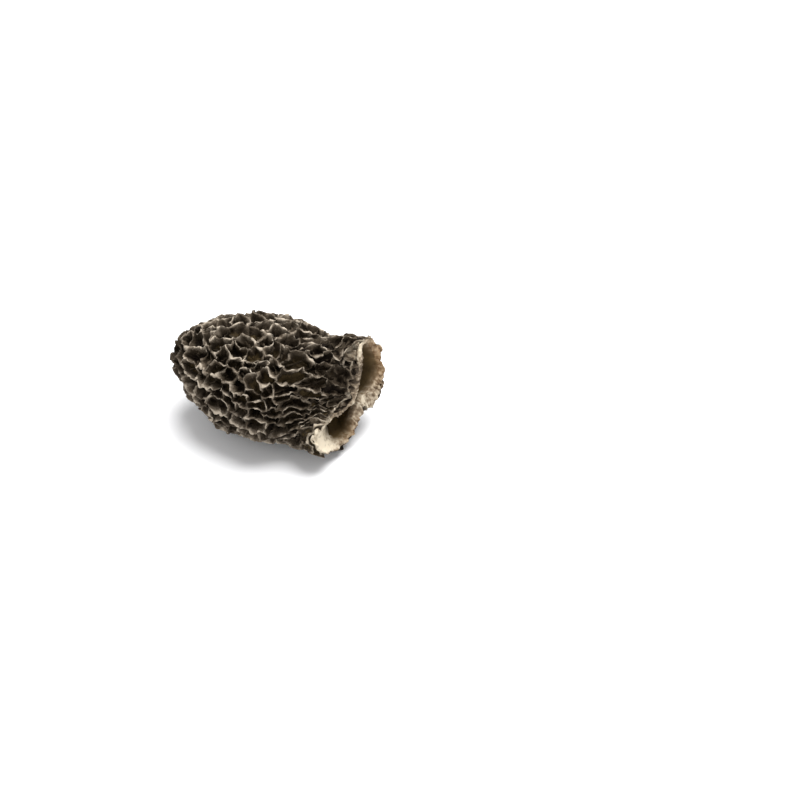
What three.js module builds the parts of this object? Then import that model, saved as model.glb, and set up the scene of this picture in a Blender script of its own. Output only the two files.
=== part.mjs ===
// A dried morel with its stem cut off just below the cap: one hollow body, in millimetres.
// It lies on its side: +X runs from the tip to the cut, +Y to the back and +Z up.
// Its outside is a network of ribs, lower cross-ridges and pits; its inside is one open hollow.

import * as THREE from "three";
import { ConvexHull } from "three/addons/math/ConvexHull.js";

// ---- the body, measured to the tops of the ribs ----
const capLength = 37.7; // tip to neck, along the body
const noseLength = 16; // the part that narrows to the tip
const noseFullness = 1.47; // 1 is a cone, 2 is an ellipse
const bellyRadius = 12.3; // mean radius at the belly
const shoulderDrop = 0.1; // share of the radius lost from the shoulder to the neck
const shoulderStart = 22;
const widthScale = 1.09; // front to back
const heightScale = 0.95; // above the middle
const undersideScale = 0.86; // below the middle, where it has sagged
const tipLift = 2.4; // how far the tip turns up
const archHeight = 0.7; // how far the back arches between tip and neck
const lumpHeight = 0.45; // uneven drying
const neckStart = 28.5; // where the round body begins to collapse into the flat neck

// ---- the mouth, where the stem was cut ----
const cutTurn = THREE.MathUtils.degToRad(18); // the cut is turned to the front
const cutTilt = THREE.MathUtils.degToRad(14); // and its top is cut further back
const stemWall = 0.9; // flesh of the stem
const marginStep = 0.8; // how far the net stands out from the stem at the cap's edge
const stubLength = 0.4; // stem left beyond the cap's edge
const mouthStart = THREE.MathUtils.degToRad(6); // direction of the outline's first point
const foldWidth = 2.4; // the flesh folded out at the back of the waist
const foldTurn = THREE.MathUtils.degToRad(336);
const foldSpan = 0.35; // half its width, in radians
// The collapsed stem seen from its cut end, front to the left: an upper lobe at the back, a waist that
// is pressed nearly shut, and a lower lobe at the front. The points lie in the middle of the wall.
const mouthPoints = [
  [8.5, 1.8], [9.3, 5.6], [8.4, 9.5], [5.6, 11.1],
  [3.1, 8.9], [1.9, 5.4], [0.9, 2.9], [-0.9, 0.8],
  [-6.6, 0.4], [-11.2, -0.2], [-10.5, -3.9], [-6.3, -5.6],
  [-2.6, -5.4], [-0.5, -2.7], [1.6, -0.8], [4.9, -0.3],
];

// ---- the net ----
const ribCount = 27; // rows of pits round the belly
const pitWidth = 2.78; // from rib to rib
const pitLength = 3.6; // from cross-ridge to cross-ridge, at the belly
const tipPitLength = 2.7;
const neckPitLength = 2.3;
const pitStretch = 1.25; // how much longer than wide the pits grow
const ribTwist = 0.25; // turn of the ribs round the body from tip to neck, in radians
const topTwist = 0.5; // how much further they turn along the top
const topCentre = THREE.MathUtils.degToRad(85);
const topWidth = 1.0; // half its width, in radians
const noseLean = 0.3; // share of the lean to the tip or neck that ribs keep behind the nose
const ribHalf = 0.34; // half the thickness of a rib at its top
const wallLean = 0.34; // how much a rib's foot spreads to each side
const pitDepth = 2.5;
const tipPitDepth = 1.7;
const neckPitDepth = 1.05;
const crossHeight = 0.68; // a cross-ridge's height as a share of a rib's
const lowCrossHeight = 0.4; // some are lower still
const lowCrossShare = 0.25;
const marginHeight = 0.85; // the ridge at the cap's edge
const marginStray = 0.5; // how far that edge may wander past the neck
const peakHeight = 0.22; // where ridges meet they stand up or sink by as much, at most
const shortestRidge = 0.7; // closer corners grow together
const longRidge = 2.6; // a longer ridge gets a bend at its middle
const netSeed = 22;

// ---- the hollow ----
const flesh = 1.0; // between the pits' floors and the hollow
const hollowSides = 36;
const hollowRings = 15;
const restPitch = THREE.MathUtils.degToRad(2.4); // how far the body leans towards the neck where it rests
const restCut = 0.6; // the lowest ribs are pressed flat by this much there

const lengthSteps = 480; // steps of the tables along the body
const outlineSteps = 40; // steps of the mouth's table between two of its points

function smooth(low, high, value) {
  const t = THREE.MathUtils.clamp((value - low) / (high - low), 0, 1);
  return t * t * (3 - 2 * t);
}

function mix(a, b, t) {
  return a + (b - a) * t;
}

// A small repeatable random source, 0 to 1.
function makeRandom(seed) {
  let state = seed;
  return () => {
    state = (state * 16807) % 2147483647;
    return state / 2147483647;
  };
}

// The mouth's outline as a table of places and outward directions, evenly spaced along it.
function tableOfMouth() {
  const fine = [];
  const count = mouthPoints.length;
  for (let i = 0; i < count; i++) {
    const [a, b, c, d] = [-1, 0, 1, 2].map((k) => mouthPoints[(i + k + count) % count]);
    for (let j = 0; j < outlineSteps; j++) {
      const t = j / outlineSteps;
      fine.push([0, 1].map((k) => 0.5 * (2 * b[k] + (c[k] - a[k]) * t +
        (2 * a[k] - 5 * b[k] + 4 * c[k] - d[k]) * t * t +
        (3 * b[k] - a[k] - 3 * c[k] + d[k]) * t * t * t)));
    }
  }
  const along = [0];
  fine.forEach((p, i) => {
    const q = fine[(i + 1) % fine.length];
    along.push(along[i] + Math.hypot(q[0] - p[0], q[1] - p[1]));
  });
  return { fine, along };
}

const mouthTable = tableOfMouth();

// A place on the mouth's outline at a turn round the body, moved outwards by `out`.
function mouthAt(turn, out) {
  const { fine, along } = mouthTable;
  const share = THREE.MathUtils.euclideanModulo((turn - mouthStart) / (2 * Math.PI), 1);
  const want = share * along[fine.length];
  let low = 0;
  let high = fine.length;
  while (high - low > 1) {
    const middle = (low + high) >> 1;
    if (along[middle] <= want) low = middle;
    else high = middle;
  }
  const t = (want - along[low]) / (along[low + 1] - along[low]);
  const p = fine[low];
  const q = fine[(low + 1) % fine.length];
  const before = fine[(low + fine.length - 8) % fine.length];
  const after = fine[(low + 9) % fine.length];
  const dx = after[0] - before[0];
  const dy = after[1] - before[1];
  const size = Math.hypot(dx, dy);
  return [mix(p[0], q[0], t) + (out * dy) / size, mix(p[1], q[1], t) - (out * dx) / size];
}

// A bump round the body, 1 at its centre.
function bumpAt(turn, centre, width) {
  const away = Math.atan2(Math.sin(turn - centre), Math.cos(turn - centre));
  return Math.exp(-((away / width) ** 2));
}

// How far the fold at the back of the waist stands out of the stem.
function foldAt(turn) {
  return foldWidth * bumpAt(turn, foldTurn, foldSpan);
}

// How far the turned and tilted cut lies beyond the neck at a place on it.
function cutShift(y, z) {
  return Math.tan(cutTurn) * y - Math.tan(cutTilt) * (z - 2);
}

function meanRadius(x) {
  if (x < noseLength) {
    const t = 1 - x / noseLength;
    return bellyRadius * (1 - t ** noseFullness) ** (1 / noseFullness);
  }
  return bellyRadius * (1 - shoulderDrop * smooth(shoulderStart, capLength + 3, x));
}

// Lengths along the surface from the tip, and the stretched length that keeps pits in proportion.
function tableOfLengths() {
  const rows = [{ x: 0, s: 0, grow: -Infinity }];
  for (let i = 1; i <= lengthSteps; i++) {
    const x = capLength * (i / lengthSteps) ** 2;
    const last = rows[i - 1];
    const step = Math.hypot(x - last.x, meanRadius(x) - meanRadius(last.x));
    const s = last.s + step;
    const middle = (last.s + s) / 2;
    const stretch = mix(1, pitStretch, smooth(2, 9, middle));
    const grow = i === 1 ? Math.log(s) : last.grow + step / (stretch * meanRadius((x + last.x) / 2));
    rows.push({ x, s, grow });
  }
  return rows;
}

const lengths = tableOfLengths();
const surfaceLength = lengths[lengthSteps].s;
const neckGrow = lengths[lengthSteps].grow;
const neckLatitude = THREE.MathUtils.degToRad(150);
const growShift = neckGrow - Math.log(Math.tan(neckLatitude / 2));

// Reads one column of the table of lengths at a value of another, past its end along a straight line.
function lookUp(from, to, value) {
  let low = 1;
  let high = lengthSteps;
  while (high - low > 1) {
    const middle = (low + high) >> 1;
    if (lengths[middle][from] <= value) low = middle;
    else high = middle;
  }
  const a = lengths[low];
  const b = lengths[high];
  return mix(a[to], b[to], (value - a[from]) / (b[from] - a[from]));
}

// A place on the body's surface, over the tops of the ribs.
function surfaceAt(s, turn) {
  const x = s < lengths[1].s ? (lengths[1].x * s) / lengths[1].s : lookUp("s", "x", s);
  const r = meanRadius(Math.max(x, 0));
  const waves = Math.sin(2 * turn + 0.33 * x) + 0.6 * Math.sin(3 * turn - 0.41 * x + 2) +
    0.4 * Math.sin(5 * turn + 0.6 * x);
  const lump = 1 + (lumpHeight / bellyRadius) * smooth(1, 8, x) * waves;
  const rise = Math.sin(turn) > 0 ? heightScale : undersideScale;
  const round = [r * lump * widthScale * Math.cos(turn), r * lump * rise * Math.sin(turn)];
  const flat = mouthAt(turn, stemWall / 2 + marginStep + foldAt(turn));
  const collapse = smooth(neckStart, capLength + 0.5, x);
  const y = mix(round[0], flat[0], collapse);
  const z = mix(round[1], flat[1], collapse);
  const lift = tipLift * (1 - smooth(0, noseLength, x)) + archHeight * Math.sin((Math.PI * x) / capLength);
  return new THREE.Vector3(x + cutShift(y, z) * smooth(6, capLength, x), y, z + lift);
}

// Which way a rib stands up: square to the body at the nose, and more straight out from its axis behind.
function outwardAt(s, turn) {
  const stepS = 0.15;
  const stepTurn = 0.04;
  const from = Math.max(s, 0.3);
  const along = surfaceAt(from + stepS, turn).sub(surfaceAt(from - stepS, turn));
  const round = surfaceAt(from, turn + stepTurn).sub(surfaceAt(from, turn - stepTurn));
  const out = round.cross(along).normalize();
  return out.setX(out.x * mix(1, noseLean, smooth(noseLength * 0.7, noseLength * 1.3, s))).normalize();
}

function depthAt(s) {
  const deep = mix(tipPitDepth, pitDepth, smooth(2, 11, s));
  return mix(deep, neckPitDepth, smooth(surfaceLength - 9, surfaceLength - 1, s));
}

// The net is worked out on a ball, where a row of pits keeps its proportions, and laid on the body.
function toBall(s, turn) {
  const grow = s < lengths[1].s ? Math.log(Math.max(s, 1e-3)) : lookUp("s", "grow", s);
  const latitude = 2 * Math.atan(Math.exp(grow - growShift));
  return new THREE.Vector3(
    Math.sin(latitude) * Math.cos(turn), -Math.sin(latitude) * Math.sin(turn), Math.cos(latitude));
}

function fromBall(point) {
  const latitude = Math.acos(THREE.MathUtils.clamp(point.z, -1, 1));
  const grow = Math.log(Math.tan(Math.min(latitude, 3.1) / 2)) + growShift;
  const s = grow < lengths[1].grow ? Math.exp(grow) : lookUp("grow", "s", grow);
  return [Math.min(s, surfaceLength + marginStray), Math.atan2(-point.y, point.x)];
}

// ---- where the pits are ----

// Rows of pits run from neck to tip, and a row ends where the nose gets too narrow for it.
function placePits(random) {
  const rank = Array.from({ length: ribCount }, (_, i) => i)
    .sort((a, b) => ((a * 0.618034) % 1) - ((b * 0.618034) % 1));
  const order = rank.map((_, i) => rank.indexOf(i));
  const roomAt = (s) => Math.min((2 * Math.PI * meanRadius(lookUp("s", "x", s))) / pitWidth, ribCount);
  const weightOf = (row, s) => smooth(order[row] - 0.6, order[row] + 1.6, roomAt(s));
  const twist = (turn, s) => turn + (ribTwist * s) / surfaceLength +
    topTwist * smooth(0.3 * surfaceLength, surfaceLength, s) * bumpAt(turn, topCentre, topWidth);
  const turnOf = (row, s) => {
    let before = 0;
    let all = 0;
    for (let i = 0; i < ribCount; i++) {
      const weight = weightOf(i, s);
      all += weight;
      if (i < row) before += weight;
      else if (i === row) before += weight / 2;
    }
    return twist((2 * Math.PI * before) / all, s);
  };
  const lengthAt = (s) => {
    const length = mix(tipPitLength, pitLength, smooth(2, 10, s));
    return mix(length, neckPitLength, smooth(surfaceLength - 12, surfaceLength - 2, s));
  };
  const pits = [{ s: 0.02, turn: 0 }];
  const beyond = [];
  for (let row = 0; row < ribCount; row++) {
    let s = surfaceLength - neckPitLength * (0.35 + 0.5 * random());
    const past = (surfaceLength - s) * mix(0.75, 1.3, random());
    beyond.push({ s: surfaceLength + past, turn: turnOf(row, surfaceLength) });
    while (s > tipPitLength * 0.75) {
      if (weightOf(row, s) > 0.5) {
        const jitter = ((0.4 * pitWidth) / meanRadius(lookUp("s", "x", s))) * (random() - 0.5);
        pits.push({ s, turn: turnOf(row, s) + jitter });
      }
      s -= lengthAt(s) * (0.7 + 0.6 * random());
    }
  }
  return { pits, beyond };
}

// The borders half way between neighbouring pits: corners, and for each pit its corners in order.
function findBorders(pits, beyond) {
  const seeds = [...pits, ...beyond].map((p) => toBall(p.s, p.turn));
  seeds.push(new THREE.Vector3(0, 0, -1));
  const numberOf = new Map(seeds.map((seed, i) => [seed, i]));
  const hull = new ConvexHull().setFromPoints(seeds);
  const corners = [];
  const nextCorner = new Map(); // "pit>neighbour" to the corner that follows it round the pit
  hull.faces.forEach((face, corner) => {
    const points = [face.edge, face.edge.next, face.edge.prev].map((edge) => edge.head().point);
    const [a, b, c] = points;
    corners.push(b.clone().sub(a).cross(c.clone().sub(a)).normalize());
    const ids = points.map((p) => numberOf.get(p));
    ids.forEach((id, i) => nextCorner.set(id + ">" + ids[(i + 1) % 3], { corner, then: ids[(i + 2) % 3] }));
  });
  const first = seeds.map(() => Infinity); // each pit's neighbour with the lowest number
  for (const key of nextCorner.keys()) {
    const [pit, neighbour] = key.split(">").map(Number);
    first[pit] = Math.min(first[pit], neighbour);
  }
  const rings = pits.map((_, pit) => {
    const ring = []; // `across` is the pit beyond the ridge from this corner to the next one
    let at = first[pit];
    do {
      const step = nextCorner.get(pit + ">" + at);
      ring.push({ corner: step.corner, across: step.then });
      at = step.then;
    } while (at !== first[pit]);
    return ring;
  });
  return { corners, rings };
}

// Corners closer than the shortest ridge become one.
function joinCorners(corners, rings) {
  const place = corners.map((c) => fromBall(c));
  const point = place.map(([s, turn]) => surfaceAt(s, turn));
  const leader = corners.map((_, i) => i);
  const find = (i) => (leader[i] === i ? i : (leader[i] = find(leader[i])));
  rings.forEach((ring) => ring.forEach((step, i) => {
    const a = step.corner;
    const b = ring[(i + 1) % ring.length].corner;
    if (point[a].distanceTo(point[b]) < shortestRidge) leader[find(a)] = find(b);
  }));
  const joined = rings.map((ring) => {
    const named = ring.map((step) => ({ corner: find(step.corner), across: step.across }));
    return named.filter((step, i) => step.corner !== named[(i + 1) % named.length].corner);
  });
  return { joined, place };
}

// ---- the solid ----

class Surface {
  constructor() {
    this.points = [];
    this.faces = [];
  }
  point(p) {
    return this.points.push(p) - 1;
  }
  triangle(a, b, c) {
    if (a !== b && b !== c && c !== a) this.faces.push([a, b, c]);
  }
  band(lower, upper) {
    lower.forEach((a, i) => {
      const j = (i + 1) % lower.length;
      this.triangle(a, lower[j], upper[j]);
      this.triangle(a, upper[j], upper[i]);
    });
  }
  geometry() {
    const geometry = new THREE.BufferGeometry();
    const numbers = this.points.flatMap((p) => p.toArray());
    geometry.setAttribute("position", new THREE.Float32BufferAttribute(numbers, 3));
    geometry.setIndex(this.faces.flat());
    geometry.computeVertexNormals();
    return geometry;
  }
}

// How high each ridge stands: ribs run along the body and stand full, cross-ridges are lower.
function ridgeHeight(from, to, atMargin, random) {
  const chance = random();
  if (atMargin) return marginHeight;
  const along = Math.abs(to[0] - from[0]);
  const turn = Math.atan2(Math.sin(to[1] - from[1]), Math.cos(to[1] - from[1]));
  const round = Math.abs(turn) * meanRadius(lookUp("s", "x", (from[0] + to[0]) / 2));
  const rib = smooth(0.35, 0.8, along / Math.hypot(along, round));
  const cross = chance < lowCrossShare ? lowCrossHeight : crossHeight;
  return mix(cross, 1, rib) * mix(0.9, 1, random());
}

// A point on the ball moved to the body, with what the net needs to know there.
function netPoint(place, height) {
  const [s, turn] = place;
  return { s, turn, height, base: surfaceAt(s, turn), out: outwardAt(s, turn), deep: depthAt(s) };
}

function sunk(base, out, depth) {
  return base.clone().addScaledVector(out, -depth);
}

// The tops of all ridges: corners, and a bend in the middle of each long ridge.
function layRidges(body, joined, place, pitTotal, random) {
  const ridges = new Map();
  const highest = new Map();
  const keyOf = (a, b) => Math.min(a, b) + "-" + Math.max(a, b);
  joined.forEach((ring) => ring.forEach((step, i) => {
    const a = step.corner;
    const b = ring[(i + 1) % ring.length].corner;
    if (ridges.has(keyOf(a, b))) return;
    const atMargin = step.across >= pitTotal;
    const height = ridgeHeight(place[a], place[b], atMargin, random);
    ridges.set(keyOf(a, b), { a, b, height, atMargin, sway: random() - 0.5 });
    [a, b].forEach((c) => {
      const heights = [...(highest.get(c) || []), height].sort((p, q) => q - p);
      highest.set(c, heights.slice(0, 2));
    });
  }));
  const tops = new Map();
  for (const [corner, heights] of highest) {
    const mean = heights.reduce((sum, h) => sum + h, 0) / heights.length;
    const top = netPoint(place[corner], mean + peakHeight * (random() - 0.4));
    top.index = body.point(sunk(top.base, top.out, top.deep * (1 - top.height)));
    tops.set(corner, top);
  }
  for (const ridge of ridges.values()) {
    const from = tops.get(ridge.a);
    const to = tops.get(ridge.b);
    const length = from.base.distanceTo(to.base);
    if (length < longRidge) continue;
    const turn = Math.atan2(Math.sin(to.turn - from.turn), Math.cos(to.turn - from.turn));
    const radius = Math.max(meanRadius(lookUp("s", "x", (from.s + to.s) / 2)), 1);
    const sway = ridge.atMargin ? 0 : 0.22 * ridge.sway;
    const s = (from.s + to.s) / 2 + sway * turn * radius;
    const bend = netPoint([s, from.turn + turn / 2 - (sway * (to.s - from.s)) / radius], ridge.height);
    bend.index = body.point(sunk(bend.base, bend.out, bend.deep * (1 - bend.height)));
    ridge.bend = bend;
  }
  return { tops, ridgeOf: (a, b) => ridges.get(keyOf(a, b)) };
}

// The loop of ridge tops round one pit.
function loopOf(ring, net) {
  const loop = [];
  ring.forEach((step, i) => {
    const next = ring[(i + 1) % ring.length].corner;
    loop.push(net.tops.get(step.corner));
    const ridge = net.ridgeOf(step.corner, next);
    if (ridge.bend) loop.push(ridge.bend);
  });
  return loop;
}

// One pit: from the ridge tops over the ribs' edges, down the walls and over the floor.
function addPit(body, loop, centreBall, random) {
  const centre = netPoint(fromBall(centreBall), 0);
  const deep = centre.deep * mix(0.88, 1.06, random());
  const line = new THREE.Line3();
  const near = new THREE.Vector3();
  const reach = loop.map((top, i) => {
    line.set(top.base, loop[(i + 1) % loop.length].base);
    return line.closestPointToPoint(centre.base, true, near).distanceTo(centre.base);
  });
  const rim = [];
  const foot = [];
  loop.forEach((top, i) => {
    const toRidge = (reach[i] + reach[(i + loop.length - 1) % loop.length]) / 2;
    const inAt = (inset, most, depth) => {
      const t = Math.min(inset / toRidge, most);
      const base = top.base.clone().lerp(centre.base, t);
      return body.point(sunk(base, top.out.clone().lerp(centre.out, t).normalize(), depth));
    };
    rim.push(inAt(ribHalf, 0.4, top.deep * (1 - top.height) + 0.1));
    foot.push(inAt(ribHalf + wallLean, 0.62, deep));
  });
  const floor = body.point(sunk(centre.base, centre.out, deep * 1.06));
  body.band(loop.map((top) => top.index), rim);
  body.band(rim, foot);
  foot.forEach((a, i) => body.triangle(a, foot[(i + 1) % foot.length], floor));
}

// Joins two loops that both run round the body, each sorted by turn.
function zip(body, outer, inner) {
  let i = 0;
  let j = 0;
  const turnOf = (list, k) => list[k % list.length].turn + 2 * Math.PI * Math.floor(k / list.length);
  while (i < outer.length || j < inner.length) {
    const outerNext = i < outer.length && (j >= inner.length || turnOf(outer, i + 1) <= turnOf(inner, j + 1));
    const a = outer[i % outer.length].index;
    const b = inner[j % inner.length].index;
    if (outerNext) body.triangle(a, outer[++i % outer.length].index, b);
    else body.triangle(a, inner[++j % inner.length].index, b);
  }
}

function turnsRound(count) {
  return Array.from({ length: count }, (_, i) => (2 * Math.PI * i) / count);
}

// A ring of the stem: `beyond` the neck, on the outer (+1) or inner (-1) face of its wall.
function stemRing(body, beyond, side) {
  return turnsRound(hollowSides).map((turn) => {
    const share = beyond / stubLength;
    const length = beyond + 0.25 * share * Math.sin(5 * turn);
    const flare = 0.35 * share * share + 0.15 * share * Math.sin(7 * turn + 1);
    const fold = side > 0 ? foldAt(turn) : 0;
    const [y, z] = mouthAt(turn, (side * stemWall) / 2 + flare + fold);
    return { turn, index: body.point(new THREE.Vector3(capLength + length + cutShift(y, z), y, z)) };
  });
}

// A ring of the hollow: under the pits' floors, and level with the stem's inner face at the neck.
function hollowRing(body, s) {
  const atNeck = smooth(surfaceLength - 6, surfaceLength, s);
  const depth = mix(depthAt(s) * 1.12 + flesh, marginStep + stemWall, atNeck);
  return turnsRound(hollowSides).map((turn) => {
    const deep = depth + foldAt(turn) * atNeck;
    return body.point(sunk(surfaceAt(s, turn), outwardAt(s, turn), deep));
  });
}

function addStemAndHollow(body, margin) {
  const outside = [0.15, 0.55, 1].map((share) => stemRing(body, share * stubLength, 1));
  const inside = [1, 0.5, 0].map((share) => stemRing(body, share * stubLength, -1));
  zip(body, margin, outside[0]);
  const rings = [...outside, ...inside].map((ring) => ring.map((p) => p.index));
  for (let i = 1; i <= hollowRings; i++) {
    rings.push(hollowRing(body, mix(surfaceLength - 0.5, 5.2, (i / hollowRings) ** 1.25)));
  }
  for (let i = 1; i < rings.length; i++) body.band(rings[i - 1], rings[i]);
  const end = body.point(sunk(surfaceAt(0.3, 0), new THREE.Vector3(-1, 0, 0), tipPitDepth + flesh + 0.6));
  const last = rings[rings.length - 1];
  last.forEach((a, i) => body.triangle(a, last[(i + 1) % last.length], end));
}

// The body is leant on its lowest ribs, which are pressed flat, and set on Z = 0 over its middle.
function setDown(points) {
  points.forEach((p) => p.applyAxisAngle(new THREE.Vector3(0, 1, 0), restPitch));
  const low = new THREE.Box3().setFromPoints(points).min.z + restCut;
  points.forEach((p) => p.setZ(Math.max(p.z, low)));
  const box = new THREE.Box3().setFromPoints(points);
  const middle = box.getCenter(new THREE.Vector3());
  points.forEach((p) => p.sub(new THREE.Vector3(middle.x, middle.y, box.min.z)));
}

function makeMorel() {
  const random = makeRandom(netSeed);
  const { pits, beyond } = placePits(random);
  const { corners, rings } = findBorders(pits, beyond);
  const { joined, place } = joinCorners(corners, rings);
  const body = new Surface();
  const net = layRidges(body, joined, place, pits.length, random);
  const margin = [];
  joined.forEach((ring) => {
    const centreBall = new THREE.Vector3();
    ring.forEach((step) => centreBall.add(corners[step.corner]));
    addPit(body, loopOf(ring, net), centreBall.normalize(), random);
    ring.forEach((step, i) => {
      if (step.across < pits.length) return;
      const from = net.tops.get(step.corner);
      const ridge = net.ridgeOf(step.corner, ring[(i + 1) % ring.length].corner);
      margin.push(from);
      if (ridge.bend) margin.push(ridge.bend);
    });
  });
  const turned = (top) => THREE.MathUtils.euclideanModulo(top.turn, 2 * Math.PI);
  const edge = margin.map((top) => ({ turn: turned(top), index: top.index })).sort((a, b) => a.turn - b.turn);
  addStemAndHollow(body, edge);
  setDown(body.points);
  return body;
}

const driedFlesh = new THREE.MeshStandardMaterial({ color: 0x6b6052, roughness: 0.85, metalness: 0 });
const body = makeMorel();
const morel = new THREE.Mesh(body.geometry(), driedFlesh);
morel.name = "morel";

const model = new THREE.Group();
model.add(morel);

export default model;
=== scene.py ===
# A dried morel with its cut stem, lying on its side on a pale floor in soft studio light.
import math

import bpy
from mathutils import Matrix, Vector, noise


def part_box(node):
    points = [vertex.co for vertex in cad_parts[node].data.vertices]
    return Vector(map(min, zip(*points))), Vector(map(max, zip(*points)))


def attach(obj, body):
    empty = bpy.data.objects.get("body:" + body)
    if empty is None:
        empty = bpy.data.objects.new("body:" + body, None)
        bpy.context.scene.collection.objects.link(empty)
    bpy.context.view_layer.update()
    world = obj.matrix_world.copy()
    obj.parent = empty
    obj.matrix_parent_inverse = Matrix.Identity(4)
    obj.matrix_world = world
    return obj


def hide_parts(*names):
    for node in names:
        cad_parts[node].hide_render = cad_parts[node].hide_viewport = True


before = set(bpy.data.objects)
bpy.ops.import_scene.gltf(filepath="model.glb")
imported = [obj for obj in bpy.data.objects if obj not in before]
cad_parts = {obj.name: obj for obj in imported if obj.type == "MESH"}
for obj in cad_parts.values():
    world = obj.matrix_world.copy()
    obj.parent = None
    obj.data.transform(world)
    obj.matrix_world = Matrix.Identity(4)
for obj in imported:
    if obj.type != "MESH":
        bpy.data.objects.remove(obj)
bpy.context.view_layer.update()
mm = 0.001
fullTurn = 2 * math.pi
noise.seed_set(5)  # without a seed, noise vectors differ from run to run


def smooth(low, high, value):
    t = min(max((value - low) / (high - low), 0.0), 1.0)
    return t * t * (3 - 2 * t)


def mix(a, b, t):
    return a + (b - a) * t


def wrap(turn):
    return math.atan2(math.sin(turn), math.cos(turn))


def bumpAt(turn, centre, width):
    return math.exp(-((wrap(turn - centre) / width) ** 2))


# Draws from 0 to 1, the same ones in every run.
def makeRandom(seed):
    factor, largest = 16807, 2147483647
    state = [seed]

    def draw():
        state[0] = (state[0] * factor) % largest
        return state[0] / largest
    return draw


# Patches round the body: at which turn in degrees, from the back (0) over the top (90), and how far
# they spread in radians.
patches = {
    "fold": (336, 0.35),  # stands out at the back of the waist
    "curl": (106, 0.55),  # the rim's flesh curls into the upper lobe
    "band": (121, 0.4),  # crumpled flesh beside the curl
    "knobs": (100, 0.7),
    "lobe": (226, 0.5),  # the end of the lower lobe; its cream flesh is painted palest, as light falling on it
    "under": (246, 0.3),  # painted shade on the outside below the lower lobe
    "rust": (25, 0.6), "rustSkirt": (25, 0.9), "gutterShade": (285, 0.3),  # browned flesh, except at the gutter, where the brown is painted shade deep in the lower lobe
    "top": (72, 0.35), "waist": (330, 0.3),  # a little paler
    "front": (170, 1.15),  # the front of the neck, where the net is dark and hangs over the stem
}


def nearTo(name, turn):
    centre, width = patches[name]
    return bumpAt(turn, math.radians(centre), width)


# The body, in millimetres from the tip, +X to the cut.
bodySizes = {
    "capLength": 37.7, "noseLength": 16, "noseFullness": 1.47, "bellyRadius": 12.3,
    "shoulderDrop": 0.1, "shoulderStart": 22, "shoulderPast": 3,
    "widthScale": 1.09, "heightScale": 0.95, "undersideScale": 0.86,
    "tipLift": 2.4, "archHeight": 0.7, "neckStart": 28.5, "neckPast": 0.5,
    "lumpHeight": 0.45, "lumpSpan": (1, 8),
    "lumps": [(2, 0.33, 0, 1), (3, -0.41, 2, 0.6), (5, 0.6, 0, 0.4)],  # round, along, start, share
    "restPitch": math.radians(2.4), "lengthSteps": 480,
}

# The mouth is an upper lobe at the back, a waist pressed nearly shut and a lower lobe at the front.
mouthSizes = {
    "cutTurn": math.radians(18), "cutTilt": math.radians(14), "cutPivot": 2, "cutFrom": 6,
    "stemWall": 0.9, "marginStep": 0.8, "stubLength": 0.4, "foldWidth": 2.4,
    "outlineStart": math.radians(6), "outlineSteps": 40, "slopeReach": 8,
    "outline": [
        (8.5, 1.8), (9.3, 5.6), (8.4, 9.5), (5.6, 11.1), (3.1, 8.9), (1.9, 5.4), (0.9, 2.9), (-0.9, 0.8),
        (-6.6, 0.4), (-11.2, -0.2), (-10.5, -3.9), (-6.3, -5.6), (-2.6, -5.4), (-0.5, -2.7), (1.6, -0.8),
        (4.9, -0.3)],
}


# A smooth curve from b to c that follows the directions of a and d.
def curveThrough(a, b, c, d, t):
    bend = (2 * a - 5 * b + 4 * c - d) * t * t
    swing = (3 * b - a - 3 * c + d) * t ** 3
    return 0.5 * (2 * b + (c - a) * t + bend + swing)


# A fine closed curve through the outline's points, and the length along it.
def tableOfMouth():
    points = mouthSizes["outline"]
    steps = mouthSizes["outlineSteps"]
    fine = []
    for i in range(len(points)):
        four = [points[(i + k) % len(points)] for k in (-1, 0, 1, 2)]
        for j in range(steps):
            fine.append([curveThrough(*[p[k] for p in four], j / steps) for k in (0, 1)])
    along = [0.0]
    for p, q in zip(fine, fine[1:] + fine[:1]):
        along.append(along[-1] + math.hypot(q[0] - p[0], q[1] - p[1]))
    return fine, along


mouthLine, mouthAlong = tableOfMouth()


# The two rows of a rising column that a value lies between.
def findStep(column, value, low, high):
    while high - low > 1:
        middle = (low + high) // 2
        if column[middle] <= value:
            low = middle
        else:
            high = middle
    return low, high


# A place on the mouth's outline at a turn round the body, moved outwards.
def mouthAt(turn, out):
    count = len(mouthLine)
    reach = mouthSizes["slopeReach"]
    share = ((turn - mouthSizes["outlineStart"]) / fullTurn) % 1
    want = share * mouthAlong[count]
    low, high = findStep(mouthAlong, want, 0, count)
    t = (want - mouthAlong[low]) / (mouthAlong[low + 1] - mouthAlong[low])
    p, q = mouthLine[low], mouthLine[(low + 1) % count]
    before, after = mouthLine[(low + count - reach) % count], mouthLine[(low + reach + 1) % count]
    dx, dy = after[0] - before[0], after[1] - before[1]
    size = math.hypot(dx, dy)
    return mix(p[0], q[0], t) + out * dy / size, mix(p[1], q[1], t) - out * dx / size


# How far the fold at the back of the waist stands out of the stem.
def foldAt(turn):
    return mouthSizes["foldWidth"] * nearTo("fold", turn)


# How far the turned and tilted cut lies beyond the neck at a place on it.
def cutShift(y, z):
    sideways = math.tan(mouthSizes["cutTurn"]) * y
    return sideways - math.tan(mouthSizes["cutTilt"]) * (z - mouthSizes["cutPivot"])


def meanRadius(x):
    nose, full = bodySizes["noseLength"], bodySizes["noseFullness"]
    if x < nose:
        return bodySizes["bellyRadius"] * (1 - (1 - x / nose) ** full) ** (1 / full)
    drop = smooth(bodySizes["shoulderStart"], bodySizes["capLength"] + bodySizes["shoulderPast"], x)
    return bodySizes["bellyRadius"] * (1 - bodySizes["shoulderDrop"] * drop)


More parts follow.
